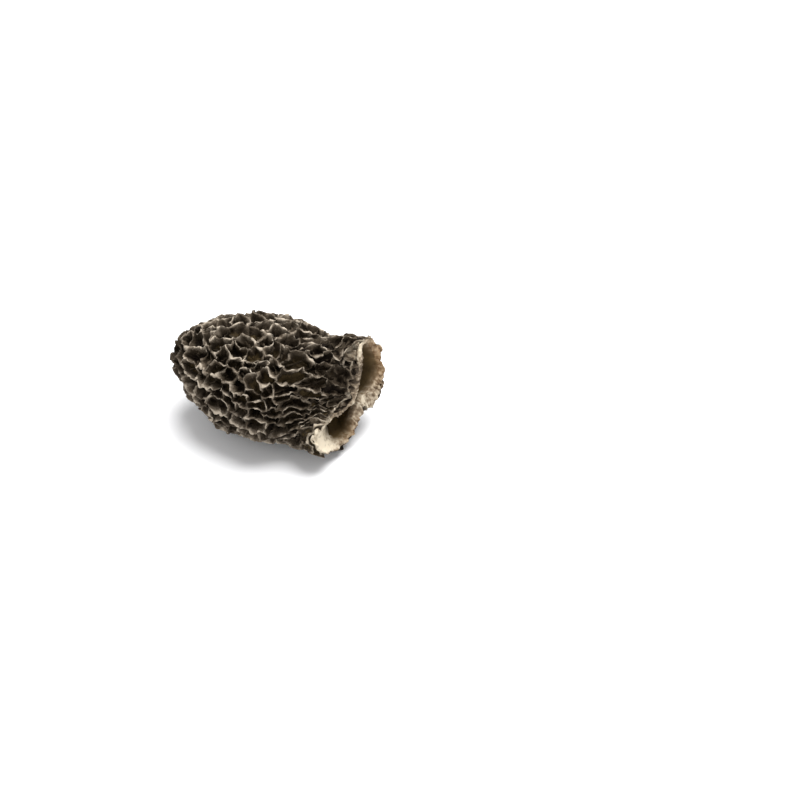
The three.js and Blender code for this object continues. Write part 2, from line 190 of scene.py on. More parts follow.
# The net of ridges. Spans near the tip are lengths from the tip, spans near the neck lengths from the cut.
netSizes = {
    "ribCount": 27, "pitWidth": 2.78, "pitLength": 3.6, "tipPitLength": 2.7, "neckPitLength": 2.3,
    "tipLengthSpan": (2, 10), "neckLengthSpan": (12, 2),
    "pitStretch": 1.25, "stretchSpan": (2, 9), "mouthLatitude": math.radians(150),
    "mostLatitude": 3.1, "leastLength": 0.001,  # keep clear of the ball's poles
    "ribTwist": 0.25, "topTwist": 0.5, "topTwistFrom": 0.3, "topCentre": math.radians(85), "topWidth": 1.0,
    "pitDepth": 2.5, "tipPitDepth": 1.7, "tipDepthSpan": (2, 11),
    "neckPitDepth": 1.05, "neckDepthSpan": (9, 1),
    "slantPastNose": 0.3, "slantSpan": (0.7, 1.3),  # in nose lengths
    "slopeFrom": 0.3, "slopeStep": 0.15, "slopeTurn": 0.04,
    "rowStart": (0.35, 0.5), "rowStep": (0.7, 0.6),  # at least, and drawn on top, in pit lengths
    "beyondStep": (0.75, 1.3), "rowJitter": 0.4, "lastPit": 0.75, "tipPit": 0.02,
    "rowFade": (0.6, 1.6), "leastWeight": 0.5,
    "crossHeight": 0.68, "lowCrossHeight": 0.4, "lowCrossShare": 0.25, "ribSlope": (0.35, 0.8),
    "leastHeight": 0.9, "marginHeight": 0.85, "marginStray": 0.5, "shortestRidge": 0.7, "netSeed": 22,
    "sample": 0.31,  # from point to point along a ridge
}


# Lengths along the surface from the tip, and the stretched length that keeps pits in proportion.
def tableOfLengths():
    steps = bodySizes["lengthSteps"]
    table = {"x": [0.0], "s": [0.0], "grow": [-math.inf]}
    for i in range(1, steps + 1):
        x = bodySizes["capLength"] * (i / steps) ** 2
        lastX, lastS = table["x"][-1], table["s"][-1]
        step = math.hypot(x - lastX, meanRadius(x) - meanRadius(lastX))
        stretch = mix(1, netSizes["pitStretch"], smooth(*netSizes["stretchSpan"], lastS + step / 2))
        grown = table["grow"][-1] + step / (stretch * meanRadius((x + lastX) / 2))
        table["x"].append(x)
        table["s"].append(lastS + step)
        table["grow"].append(math.log(lastS + step) if i == 1 else grown)
    return table


lengths = tableOfLengths()
surfaceLength = lengths["s"][-1]
growShift = lengths["grow"][-1] - math.log(math.tan(netSizes["mouthLatitude"] / 2))


def lookUp(known, wanted, value):
    low, high = findStep(lengths[known], value, 1, bodySizes["lengthSteps"])
    a, b = lengths[known][low], lengths[known][high]
    return mix(lengths[wanted][low], lengths[wanted][high], (value - a) / (b - a))


# Rises from 0 to 1 between two lengths from the cut; a length beyond the cut is negative.
def towardsCut(start, end, s):
    return smooth(surfaceLength - start, surfaceLength - end, s)


# The body's surface at a length from the tip and a turn round it. The hollow leaves out the fold.
def surfaceAt(s, turn, folded=True):
    firstS = lengths["s"][1]
    x = lengths["x"][1] * s / firstS if s < firstS else lookUp("s", "x", s)
    r = meanRadius(max(x, 0))
    waves = sum(share * math.sin(times * turn + along * x + start)
                for times, along, start, share in bodySizes["lumps"])
    r *= 1 + bodySizes["lumpHeight"] / bodySizes["bellyRadius"] * smooth(*bodySizes["lumpSpan"], x) * waves
    rise = bodySizes["heightScale"] if math.sin(turn) > 0 else bodySizes["undersideScale"]
    fold = (foldAt(turn) if folded else 0) - curlAt(turn) * hollowSizes["curlOutside"]
    flat = mouthAt(turn, mouthSizes["stemWall"] / 2 + mouthSizes["marginStep"] + fold)
    collapse = smooth(bodySizes["neckStart"], bodySizes["capLength"] + bodySizes["neckPast"], x)
    y = mix(r * bodySizes["widthScale"] * math.cos(turn), flat[0], collapse)
    z = mix(r * rise * math.sin(turn), flat[1], collapse)
    lift = bodySizes["tipLift"] * (1 - smooth(0, bodySizes["noseLength"], x))
    lift += bodySizes["archHeight"] * math.sin(math.pi * x / bodySizes["capLength"])
    towards = smooth(mouthSizes["cutFrom"], bodySizes["capLength"], x)
    return Vector((x + cutShift(y, z) * towards, y, z + lift))


# Straight out of the surface on the nose, and past it with less slant along the body.
def outwardAt(s, turn, folded=True):
    n = netSizes
    near = max(s, n["slopeFrom"])
    along = surfaceAt(near + n["slopeStep"], turn, folded) - surfaceAt(near - n["slopeStep"], turn, folded)
    around = surfaceAt(near, turn + n["slopeTurn"], folded) - surfaceAt(near, turn - n["slopeTurn"], folded)
    out = around.cross(along).normalized()
    start, end = [bodySizes["noseLength"] * share for share in n["slantSpan"]]
    out.x *= mix(1, n["slantPastNose"], smooth(start, end, s))
    return out.normalized()


def depthAt(s):
    deep = mix(netSizes["tipPitDepth"], netSizes["pitDepth"], smooth(*netSizes["tipDepthSpan"], s))
    return mix(deep, netSizes["neckPitDepth"], towardsCut(*netSizes["neckDepthSpan"], s))


# The net is worked out on a ball, where a row of pits keeps its proportions, and laid on the body.
def toBall(s, turn):
    grow = math.log(max(s, netSizes["leastLength"])) if s < lengths["s"][1] else lookUp("s", "grow", s)
    latitude = 2 * math.atan(math.exp(grow - growShift))
    flat = math.sin(latitude)
    return Vector((flat * math.cos(turn), -flat * math.sin(turn), math.cos(latitude)))


def fromBall(point):
    latitude = math.acos(min(max(point.z, -1), 1))
    grow = math.log(math.tan(min(latitude, netSizes["mostLatitude"]) / 2)) + growShift
    s = math.exp(grow) if grow < lengths["grow"][1] else lookUp("grow", "s", grow)
    return min(s, surfaceLength + netSizes["marginStray"]), math.atan2(-point.y, point.x)


# Rows of pits run from neck to tip, and a row ends where the nose gets too narrow for it.
def placePits(random):
    n = netSizes
    rows = range(n["ribCount"])
    ranked = sorted(rows, key=lambda row: (row * 0.618034) % 1)  # spreads the rows that end early
    order = [ranked.index(row) for row in rows]

    def roundAt(s):
        return meanRadius(lookUp("s", "x", s))

    def weightOf(row, s):
        room = min(fullTurn * roundAt(s) / n["pitWidth"], n["ribCount"])
        before, after = n["rowFade"]
        return smooth(order[row] - before, order[row] + after, room)

    def twist(turn, s):
        top = n["topTwist"] * smooth(n["topTwistFrom"] * surfaceLength, surfaceLength, s)
        return turn + n["ribTwist"] * s / surfaceLength + top * bumpAt(turn, n["topCentre"], n["topWidth"])

    def turnOf(row, s):
        weights = [weightOf(i, s) for i in rows]
        before = sum(weights[:row]) + weights[row] / 2
        return twist(fullTurn * before / sum(weights), s)

    def lengthAt(s):
        length = mix(n["tipPitLength"], n["pitLength"], smooth(*n["tipLengthSpan"], s))
        return mix(length, n["neckPitLength"], towardsCut(*n["neckLengthSpan"], s))

    def drawn(least, more):
        return least + more * random()

    pits = [(n["tipPit"], 0.0)]
    beyond = []
    for row in rows:
        s = surfaceLength - n["neckPitLength"] * drawn(*n["rowStart"])
        past = (surfaceLength - s) * mix(*n["beyondStep"], random())
        beyond.append((surfaceLength + past, turnOf(row, surfaceLength)))
        while s > n["tipPitLength"] * n["lastPit"]:
            if weightOf(row, s) > n["leastWeight"]:
                jitter = n["rowJitter"] * n["pitWidth"] / roundAt(s) * (random() - 0.5)
                pits.append((s, turnOf(row, s) + jitter))
            s -= lengthAt(s) * drawn(*n["rowStep"])
    return pits, beyond


# Wraps the pits' middles on the ball in triangles: each triangle is a corner where three ridges meet.
def wrapBall(seeds):
    mesh = bpy.data.meshes.new("pitWrap")
    mesh.from_pydata(seeds, [], [])
    wrapper = bpy.data.objects.new("pitWrap", mesh)
    bpy.context.collection.objects.link(wrapper)
    bpy.ops.object.select_all(action="DESELECT")
    bpy.context.view_layer.objects.active = wrapper
    wrapper.select_set(True)
    bpy.ops.object.mode_set(mode="EDIT")
    bpy.ops.mesh.select_all(action="SELECT")
    bpy.ops.mesh.convex_hull(join_triangles=False)
    bpy.ops.object.mode_set(mode="OBJECT")
    triangles = []
    for face in mesh.polygons:
        a, b, c = face.vertices
        facing = (seeds[b] - seeds[a]).cross(seeds[c] - seeds[a])
        triangles.append((a, b, c) if facing.dot(seeds[a] + seeds[b] + seeds[c]) > 0 else (a, c, b))
    bpy.data.objects.remove(wrapper)
    bpy.data.meshes.remove(mesh)
    return triangles


# The borders half way between neighbouring pits: corners, and for each pit its corners in order.
def findBorders(pits, beyond):
    seeds = [toBall(*pit) for pit in pits + beyond] + [Vector((0, 0, -1))]
    corners = []
    following = {}
    for corner, (a, b, c) in enumerate(wrapBall(seeds)):
        corners.append((seeds[b] - seeds[a]).cross(seeds[c] - seeds[a]).normalized())
        for pit, neighbour, then in ((a, b, c), (b, c, a), (c, a, b)):
            following[pit, neighbour] = (corner, then)
    first = {}
    for pit, neighbour in following:
        first[pit] = min(first.get(pit, neighbour), neighbour)
    rings = []
    for pit in range(len(pits)):
        ring = []
        at = first[pit]
        while True:
            corner, at = following[pit, at]
            ring.append((corner, at))
            if at == first[pit]:
                break
        rings.append(ring)
    return corners, rings


# Corners closer than the shortest ridge become one.
def joinCorners(corners, rings):
    places = [fromBall(corner) for corner in corners]
    points = [surfaceAt(*place) for place in places]
    leader = list(range(len(corners)))

    def find(i):
        while leader[i] != i:
            i = leader[i]
        return i

    for ring in rings:
        for (a, _), (b, _) in zip(ring, ring[1:] + ring[:1]):
            if (points[a] - points[b]).length < netSizes["shortestRidge"]:
                leader[find(a)] = find(b)
    joined = []
    for ring in rings:
        named = [(find(corner), across) for corner, across in ring]
        joined.append([step for step, then in zip(named, named[1:] + named[:1]) if step[0] != then[0]])
    return joined, places


# Ribs run along the body and stand high, cross-ridges run round it and stand lower.
def ridgeHeight(start, end, atMargin, random):
    n = netSizes
    chance = random()
    if atMargin:
        return n["marginHeight"]
    along = abs(end[0] - start[0])
    across = abs(wrap(end[1] - start[1])) * meanRadius(lookUp("s", "x", (start[0] + end[0]) / 2))
    rib = smooth(*n["ribSlope"], along / math.hypot(along, across))
    cross = n["lowCrossHeight"] if chance < n["lowCrossShare"] else n["crossHeight"]
    return mix(cross, 1, rib) * mix(n["leastHeight"], 1, random())


# Every roughness of the dried flesh: from bump to bump, how high, and where its noise starts.
roughSizes = {
    "bodyWarp": (4.2, 0.7, 0.0), "ridgeLean": (2.4, 1.0, 7.3), "crestCurl": (0.95, 0.85, 3.1),
    "crestRag": (0.8, 0.16, 11.0), "crestWear": (1.2, 0.5, 14.0), "overhang": (1.7, 2.2, 16.0),
    "wallThickness": (1.3, 1.7, 12.0), "wallWrinkle": (0.75, 0.5, 5.0), "floorFold": (1.2, 2.2, 2.0),
    "lowRidgeSway": (1.4, 0.8, 8.0), "grain": (0.43, 0.29, 4.0),
    "knob": (0.75, 1.0, 21.0), "speck": (0.75, 2.0, 23.0), "joinFold": (0.75, 0.55, 24.0),
    "skirtFold": (1.1, 0.9, 22.0), "rimFrill": (1.1, 0.4, 9.0), "rimGrain": (0.45, 0.22, 1.0),
    "pleatPatch": (2.5, 1.0, 6.1), "pleatSway": (2.0, 9.0, 2.2), "flapEdge": (1.8, 0.9, 3.3),
    "hollowFold": (3.0, 0.35, 4.0), "hollowGrain": (0.9, 0.1, 6.0),
}


# The start moves a roughness through the noise, so that no two line up.
def placeInNoise(name, point):
    pitch, _, start = roughSizes[name]
    return point / pitch + Vector((start, start * 0.7, start * 1.3))


def roughAt(name, point):
    return noise.noise(placeInNoise(name, point)) * roughSizes[name][1]


def roughVectorAt(name, point):
    return noise.noise_vector(placeInNoise(name, point)) * roughSizes[name][1]


# The fine surface of the net.
crumpleSizes = {
    # each ring of a pit: how far in from the ridge's middle, at most what share of the way,
    # how deep, how pale as painted shade that darkens with depth, and how much of the wall's wrinkles it has
    "profile": [
        (0.12, 0.1, 0.02, 0.88, 0.15),
        (0.19, 0.18, 0.13, 0.7, 0.4),
        (0.27, 0.27, 0.36, 0.55, 0.8),
        (0.36, 0.37, 0.62, 0.42, 1.0),
        (0.52, 0.5, 0.85, 0.27, 1.0),
        (0.82, 0.68, 0.97, 0.1, 0.7),
        (1.15, 0.84, 1.02, 0.02, 0.3)],
    "leanPower": 1.5, "curlPower": 3, "outwardShare": 0.75, "peakHeight": 0.1, "peakMiddle": 0.4,
    "ridgeSway": 0.3, "middlePower": 0.7,
    "overhang": 0.75, "leastOverhang": 0.1, "overhangSpan": (1, -0.1),
    # lowTint paints low crests darker as shade; riseTint and centreTint paint what rises from a pit's floor
    # paler
    "crestTint": 0.94, "lowTint": 0.62, "lowTintSpan": (0.3, 0.95), "tipTint": 0.66, "tipTintSpan": (1, 10),
    "frontDark": 0.2, "frontDarkSpan": (12, 3), "marginCream": 0.6, "marginCreamSpan": (1.2, -0.4),
    "pitDepths": (0.88, 1.06), "thinnestWall": 0.45, "leastInset": 0.02, "evenOver": 3,
    "floorFold": 0.6, "floorFoldSpan": (0.6, 1), "centreDepths": (1.02, 0.25),
    "lowRidgeShare": 0.7, "lowRidgeHeight": 0.6, "lowRidgeLeast": 0.5, "lowRidgeHalf": 0.26,
    "lowRidgeSpan": (0.5, 0.9), "mostRise": 0.9, "riseTint": 0.95, "centreTint": 1.1,
    "knobSpan": (4.5, 1), "knobEdge": (-0.12, 0.22), "knobRise": 0.9, "knobRiseSpan": (0.1, 0.4),
    "knobDark": 0.6, "detailSeed": 77,
}


class FineSurface:
    def __init__(self):
        self.points = []
        self.tints = []  # 0 on a pit's floor, 1 on a crest: painted shade that deepens into the pits, and the crests' own pale dried colour
        self.tones = []  # from pit to pit; on the cut flesh, how pale it is, with painted light on the lower lobe and its flap
        self.creams = []  # 1 on the stem's pale flesh
        self.insides = []  # 1 in the hollow, whose colour deeper than the cream is painted shade
        self.rusts = []  # 1 where the cut flesh has browned, and in the gutter, where the brown is painted shade
        self.faces = []

    def add(self, point, tint, cream=0.0, inside=0.0, tone=0.5, rust=0.0):
        self.points.append(point)
        self.tints.append(tint)
        self.tones.append(tone)
        self.creams.append(cream)
        self.insides.append(inside)
        self.rusts.append(rust)
        return len(self.points) - 1

    def band(self, outer, inner):
        for i in range(len(outer)):
            j = (i + 1) % len(outer)
            self.faces.append((outer[i], outer[j], inner[j], inner[i]))

    def fan(self, ring, middle):
        for i in range(len(ring)):
            self.faces.append((ring[i], ring[(i + 1) % len(ring)], middle))


# Moves a point as the flesh crumpled in drying; what stands high moves most, and mostly sideways.
def crumple(point, rise, out=None):
    c = crumpleSizes
    moved = roughVectorAt("ridgeLean", point) * rise ** c["leanPower"]
    moved += roughVectorAt("crestCurl", point) * rise ** c["curlPower"]
    if out:
        moved -= out * moved.dot(out) * c["outwardShare"]
    return point + moved + roughVectorAt("bodyWarp", point)


def netPoint(s, turn, height):
    return {"s": s, "turn": turn, "height": height, "base": surfaceAt(s, turn),
            "out": outwardAt(s, turn), "deep": depthAt(s)}


# Knobs of crumpled flesh beside the curl, 0 between them and 1 on them.
def knobAt(point):
    return smooth(*crumpleSizes["knobEdge"], roughAt("knob", point))


# The last ridges at the front hang raggedly over the stem.
def overhangAt(top):
    c = crumpleSizes
    ragged = max(1 + roughAt("overhang", top["base"]), c["leastOverhang"])
    return c["overhang"] * ragged * towardsCut(*c["overhangSpan"], top["s"]) * nearTo("front", top["turn"])


# Crests are paler where they stand high, as low ones are painted darker as shade among the pits, and paler
# away from the tip and where they are worn.
def crestTint(top, height):
    c = crumpleSizes
    worn = c["crestTint"] + roughAt("crestWear", top["base"])
    worn -= c["frontDark"] * towardsCut(*c["frontDarkSpan"], top["s"]) * nearTo("front", top["turn"])
    high = mix(c["lowTint"], 1, smooth(*c["lowTintSpan"], height))
    return high * mix(c["tipTint"], 1, smooth(*c["tipTintSpan"], top["s"])) * worn


def addCrest(surface, top):
    c = crumpleSizes
    height = top["height"] + roughAt("crestRag", top["base"])
    top["sunk"] = top["deep"] * (1 - height)
    top["tint"] = crestTint(top, height)
    at = crumple(top["base"], 1, top["out"]) - top["out"] * top["sunk"]
    at.x += overhangAt(top)
    cream = c["marginCream"] * towardsCut(*c["marginCreamSpan"], top["s"])
    top["index"] = surface.add(at, top["tint"], cream)
    return top


# The crest of every ridge as a line of points from corner to corner.
def layRidges(surface, joined, places, pitTotal, random):
    c = crumpleSizes
    ridges = {}
    highest = {}
    for ring in joined:
        for (a, across), (b, _) in zip(ring, ring[1:] + ring[:1]):
            key = (min(a, b), max(a, b))
            if key in ridges:
                continue
            atMargin = across >= pitTotal
            height = ridgeHeight(places[a], places[b], atMargin, random)
            ridges[key] = {"a": a, "b": b, "height": height, "atMargin": atMargin, "sway": random() - 0.5}
            for corner in (a, b):
                highest[corner] = sorted(highest.get(corner, []) + [height], reverse=True)[:2]
    tops = {}
    for corner, heights in highest.items():
        height = sum(heights) / len(heights) + c["peakHeight"] * (random() - c["peakMiddle"])
        tops[corner] = addCrest(surface, netPoint(*places[corner], height))
    for ridge in ridges.values():
        layLine(surface, ridge, tops[ridge["a"]], tops[ridge["b"]])
    return tops, ridges


# One ridge's crest, which sways to one side and stands at its own height in the middle.
def layLine(surface, ridge, start, end):
    count = max(2, round((start["base"] - end["base"]).length / netSizes["sample"]))
    turned = wrap(end["turn"] - start["turn"])
    radius = max(meanRadius(lookUp("s", "x", (start["s"] + end["s"]) / 2)), 1)
    sway = 0 if ridge["atMargin"] else crumpleSizes["ridgeSway"] * ridge["sway"]
    ridge["line"] = []
    for k in range(1, count):
        t = k / count
        bow = 4 * t * (1 - t) * sway
        s = mix(start["s"], end["s"], t) + bow * turned * radius
        turn = start["turn"] + turned * t - bow * (end["s"] - start["s"]) / radius
        ends = mix(start["height"], end["height"], t)
        height = mix(ends, ridge["height"], math.sin(math.pi * t) ** crumpleSizes["middlePower"])
        ridge["line"].append(addCrest(surface, netPoint(s, turn, height)))


# The crest points from one corner to the next, without the second corner.
def crestFrom(a, b, tops, ridges):
    ridge = ridges[min(a, b), max(a, b)]
    return [tops[a]] + (ridge["line"] if ridge["a"] == a else ridge["line"][::-1])


def loopOf(ring, tops, ridges):
    loop = []
    for (a, _), (b, _) in zip(ring, ring[1:] + ring[:1]):
        loop += crestFrom(a, b, tops, ridges)
    return loop


# The crests along the net's edge at the stem, sorted by turn.
def marginOf(joined, tops, ridges, pitTotal):
    margin = []
    for ring in joined:
        for (a, across), (b, _) in zip(ring, ring[1:] + ring[:1]):
            if across >= pitTotal:
                margin += crestFrom(a, b, tops, ridges)
    margin.sort(key=lambda top: top["turn"] % fullTurn)
    return margin


def nearestOnLine(a, b, point):
    along = b - a
    t = min(max((point - a).dot(along) / along.length_squared, 0), 1)
    return (a + along * t - point).length


# How far a pit's middle lies from the ridges round it, evened out from point to point.
def roomRound(loop, middle):
    count = len(loop)
    over = crumpleSizes["evenOver"]
    reach = [nearestOnLine(loop[i]["base"], loop[(i + 1) % count]["base"], middle) for i in range(count)]
    room = [(reach[i] + reach[i - 1]) / 2 for i in range(count)]
    steps = range(-over, over + 1)
    return [sum(room[(i + k) % count] for k in steps) / len(steps) for i in range(count)]


# Most pits have a low ridge across the floor, which runs through the middle towards some place on the crest.
def makeLowRidge(loop, centre, detail):
    c = crumpleSizes
    towards = (loop[int(detail() * len(loop))]["base"] - centre["base"]).normalized()
    aside = towards.cross(centre["out"]).normalized()
    chance = detail()
    height = c["lowRidgeHeight"] * mix(c["lowRidgeLeast"], 1, detail()) if chance < c["lowRidgeShare"] else 0

    def lowRidgeAt(base):
        off = (base - centre["base"]).dot(aside) + roughAt("lowRidgeSway", base)
        return height * math.exp(-(off / c["lowRidgeHalf"]) ** 2)
    return lowRidgeAt


# One pit: from the crests round it down the walls and over the floor.
def addPit(surface, loop, centreBall, random, detail):
    c = crumpleSizes
    centre = netPoint(*fromBall(centreBall), 0)
    deep = centre["deep"] * mix(*c["pitDepths"], random())
    rooms = roomRound(loop, centre["base"])
    tone = detail()
    lowRidgeAt = makeLowRidge(loop, centre, detail)
    walls = [max(1 + roughAt("wallThickness", top["base"]), c["thinnestWall"]) for top in loop]
    last = [top["index"] for top in loop]
    for inset, most, share, tint, wrinkles in c["profile"]:
        ring = []
        for top, room, wall in zip(loop, rooms, walls):
            wave = roughAt("wallWrinkle", top["base"]) * wrinkles
            t = min(max((inset * mix(wall, 1, share) + wave) / room, c["leastInset"]), most)
            base = top["base"].lerp(centre["base"], t)
            out = top["out"].lerp(centre["out"], t).normalized()
            depth = mix(top["sunk"], deep, share)
            fold = 1 - abs(roughAt("floorFold", base))
            depth -= c["floorFold"] * fold * smooth(*c["floorFoldSpan"], share) * share
            low = lowRidgeAt(base) * smooth(*c["lowRidgeSpan"], share)
            knobby = towardsCut(*c["knobSpan"], top["s"]) * nearTo("knobs", top["turn"])
            low = max(low, c["knobRise"] * knobAt(base) * knobby * smooth(*c["knobRiseSpan"], share))
            depth = mix(depth, top["sunk"], min(low, c["mostRise"]))
            at = crumple(base, max(1 - share, low), out) - out * depth
            at += roughVectorAt("grain", at)
            # painted shade: the flesh darkens down the walls to the floor, and low ridges and knobs are
            # paler as they rise; the knob patch is darker as well
            shade = max(tint * (1 - c["knobDark"] * knobby) * top["tint"], low * c["riseTint"])
            ring.append(surface.add(at, shade, 0, 0, tone))
        surface.band(last, ring)
        last = ring
    # the pit's middle is painted darkest, as shade, unless a low ridge rises there
    low = lowRidgeAt(centre["base"])
    inwards = centre["out"] * deep * mix(*c["centreDepths"], low)
    middle = crumple(centre["base"], low, centre["out"]) - inwards
    surface.fan(last, surface.add(middle, low * c["centreTint"], 0, 0, tone))


# Joins two loops that both run round the body, each sorted by turn.
def zipLoops(surface, outer, inner):
    def turnOf(loop, k):
        return loop[k % len(loop)][0] + fullTurn * (k // len(loop))

    i = j = 0
    while i < len(outer) or j < len(inner):
        outerNext = i < len(outer) and (j >= len(inner) or turnOf(outer, i + 1) <= turnOf(inner, j + 1))
        a, b = outer[i % len(outer)][1], inner[j % len(inner)][1]
        if outerNext:
            i += 1
            surface.faces.append((a, outer[i % len(outer)][1], b))
        else:
            j += 1
            surface.faces.append((a, inner[j % len(inner)][1], b))


def indicesOf(loop):
    return [index for _, index in loop]


# The stem and the hollow.
hollowSizes = {
    "flesh": 1.0, "fleshShare": 1.12, "sides": 384, "rings": 22, "neckSpan": (6, 0),
    "mouthEnd": 0.4, "tipEnd": 5.2,  # the first ring's length from the cut, the last one's from the tip
    "endFrom": 0.3, "endInset": 1.6, "endTint": 0.4,
    "curlWidth": 2.3, "curlOutside": 0.45, "curlInPower": 6,
    "edgeWave": 0.25, "edgeWaves": 5, "flare": 0.35, "flareWave": 0.15, "flareWaves": 7, "rimThinning": 0.75,
    "pleats": 84, "pleatHeight": 0.14, "pleatEdge": (-0.25, 0.35), "lobePleats": 0.2, "lobeGrain": 0.3,
    "bareSpan": (0.35, 0.95), "underShade": 0.95,
    "flapEdge": -5.3, "flapColorSpan": (0.6, -0.4), "flapStart": (0.1, 0.9), "flapEnd": (2.5, 5),
    "knobHeight": 0.7, "knobLean": (0.6, -0.5, 0.6), "knobMiddle": 0.6, "bandMiddle": 0.5,
    "stemKnobs": 0.9, "skirtKnobs": 0.85, "joinKnobs": 0.8, "skirtRust": 0.7, "joinDark": 0.4,
    # each loop of the net's skirt: how far it drops, how far it lies beyond the crest, how crumpled it is
    "skirt": [(0.3, 0.1, 1.0), (0.6, 0.16, 0.8), (0.72, 0.24, 0.4)], "skirtFoldOver": 1.2,
    "joins": [0.3, 0.65],  # shares of the way from the skirt to the stem
    # each ring of the stem: share of its length, side of its wall from outside (1) to inside (-1), swell
    "stem": [
        (0.45, 1, 0), (0.75, 1, 0), (0.95, 1, 0), (1, 0.7, 0.1), (1, 0, 0.16), (1, -0.7, 0.1),
        (0.93, -1, 0), (0.7, -1, 0), (0.4, -1, 0), (0.1, -1, 0)],
}

# How much each patch browns, shades or lightens the flesh, and how far the cream reaches behind the rim. The
# gutter's brown is painted shade, and the lobe's and the flap's extra paleness is painted light.
fleshTones = {
    # past the cream's reach the hollow shows its painted shade
    "rust": 0.9, "gutterShade": 0.6, "creamFrom": 0.1, "creamReach": (1.1, 0.4),
    "plain": 0.3, "lobe": 0.4, "flap": 0.2, "top": 0.5, "waist": 0.2, "pleat": 0.16, "curl": 0.22,
    # the first two paint the collar between the net's edge and the stem dark, as the shade in that gap
    "collarShade": 0.22, "collarShadePleat": 0.5, "bareTint": 0.45,
}


def curlAt(turn):
    return hollowSizes["curlWidth"] * nearTo("curl", turn)


# The flap in the lower lobe is pale all over, the rest of the hollow only near the rim; deeper in, the
# hollow is painted in shade.
def addFlesh(surface, point, turn, behindRim, bare, inside, pleat=0.0):
    h = hollowSizes
    f = fleshTones
    start, end = [h["flapEdge"] + step for step in h["flapColorSpan"]]
    onFlap = smooth(start, end, point.y) * inside
    # at the gutter this brown stands for painted shade deep in the lower lobe; elsewhere it is rust
    rust = min(f["rust"] * nearTo("rust", turn) + f["gutterShade"] * nearTo("gutterShade", turn), 1)
    cream = bare * max(1 - smooth(f["creamFrom"], mix(*f["creamReach"], rust), behindRim), onFlap)
    # the lobe and the flap are painted paler, as light falling on them
    tone = f["plain"] + f["lobe"] * nearTo("lobe", turn) + f["flap"] * onFlap
    tone += f["top"] * nearTo("top", turn)
    tone += f["waist"] * nearTo("waist", turn)
    tone += f["pleat"] * pleat - f["curl"] * nearTo("curl", turn)
    # where the flesh is not bare, the collar is painted dark as the shade between the net and the stem
    tint = f["collarShade"] + f["collarShadePleat"] * pleat if bare < 0.5 else f["bareTint"]
    return surface.add(point, tint, cream, inside, tone, rust)


# Just behind the rim a flap of pale flesh closes the end of the lower lobe.
def closeFlap(point, behindRim):
    h = hollowSizes
    edge = h["flapEdge"] + roughAt("flapEdge", point)
    closed = smooth(*h["flapStart"], behindRim) * (1 - smooth(*h["flapEnd"], behindRim))
    if point.y < edge:
        moved = (edge - point.y) * closed
        point = point + Vector((moved * math.tan(mouthSizes["cutTurn"]), moved, 0))
    return point


def turnsRound(count):
    return [fullTurn * i / count for i in range(count)]


# A loop of the skirt that hangs from the net's last crests towards the stem.
def skirtLoop(surface, margin, drop, step, rise):
    h = hollowSizes
    loop = []
    for top in margin:
        turn = top["turn"]
        base = surfaceAt(top["s"] + step, turn)
        at = crumple(base, rise, top["out"]) - top["out"] * drop
        at += roughVectorAt("skirtFold", base) * (h["skirtFoldOver"] - rise)
        at.x += overhangAt(top) * (1 - drop)
        atBand = nearTo("band", turn)
        knob = knobAt(at)
        at.x += h["knobHeight"] * (knob - h["bandMiddle"]) * atBand
        bare = h["skirtRust"] * nearTo("rustSkirt", turn) + h["skirtKnobs"] * atBand * knob
        loop.append((turn % fullTurn, addFlesh(surface, at, turn, 0, bare, 0, roughAt("speck", base))))
    return loop


# The place on a loop, sorted by turn, at any turn.
def pointAlong(surface, loop, turn):
    column = [p[0] for p in loop] + [loop[0][0] + fullTurn]
    if turn < column[0]:
        turn += fullTurn
    low, high = findStep(column, turn, 0, len(loop))
    a, b = [surface.points[loop[k % len(loop)][1]] for k in (low, high)]
    return a.lerp(b, (turn - column[low]) / max(column[high] - column[low], 1e-6))


# A ring of folded flesh some share of the way from the net's skirt to the stem.
def foldedRing(surface, skirt, stem, share):
    h = hollowSizes
    ring = []
    for turn, index in stem:
        at = pointAlong(surface, skirt, turn).lerp(surface.points[index], share)
        at += roughVectorAt("joinFold", at)
        knob = knobAt(at)
        knobby = nearTo("knobs", turn)
        at += Vector(h["knobLean"]) * h["knobHeight"] * (knob - h["knobMiddle"]) * knobby
        bare = h["skirtRust"] * nearTo("rustSkirt", turn) * (1 - share) + h["joinKnobs"] * knobby * knob
        speck = roughAt("speck", at) - h["joinDark"] * knobby
        ring.append((turn, addFlesh(surface, at, turn, 0, bare, 0, speck)))
    return ring


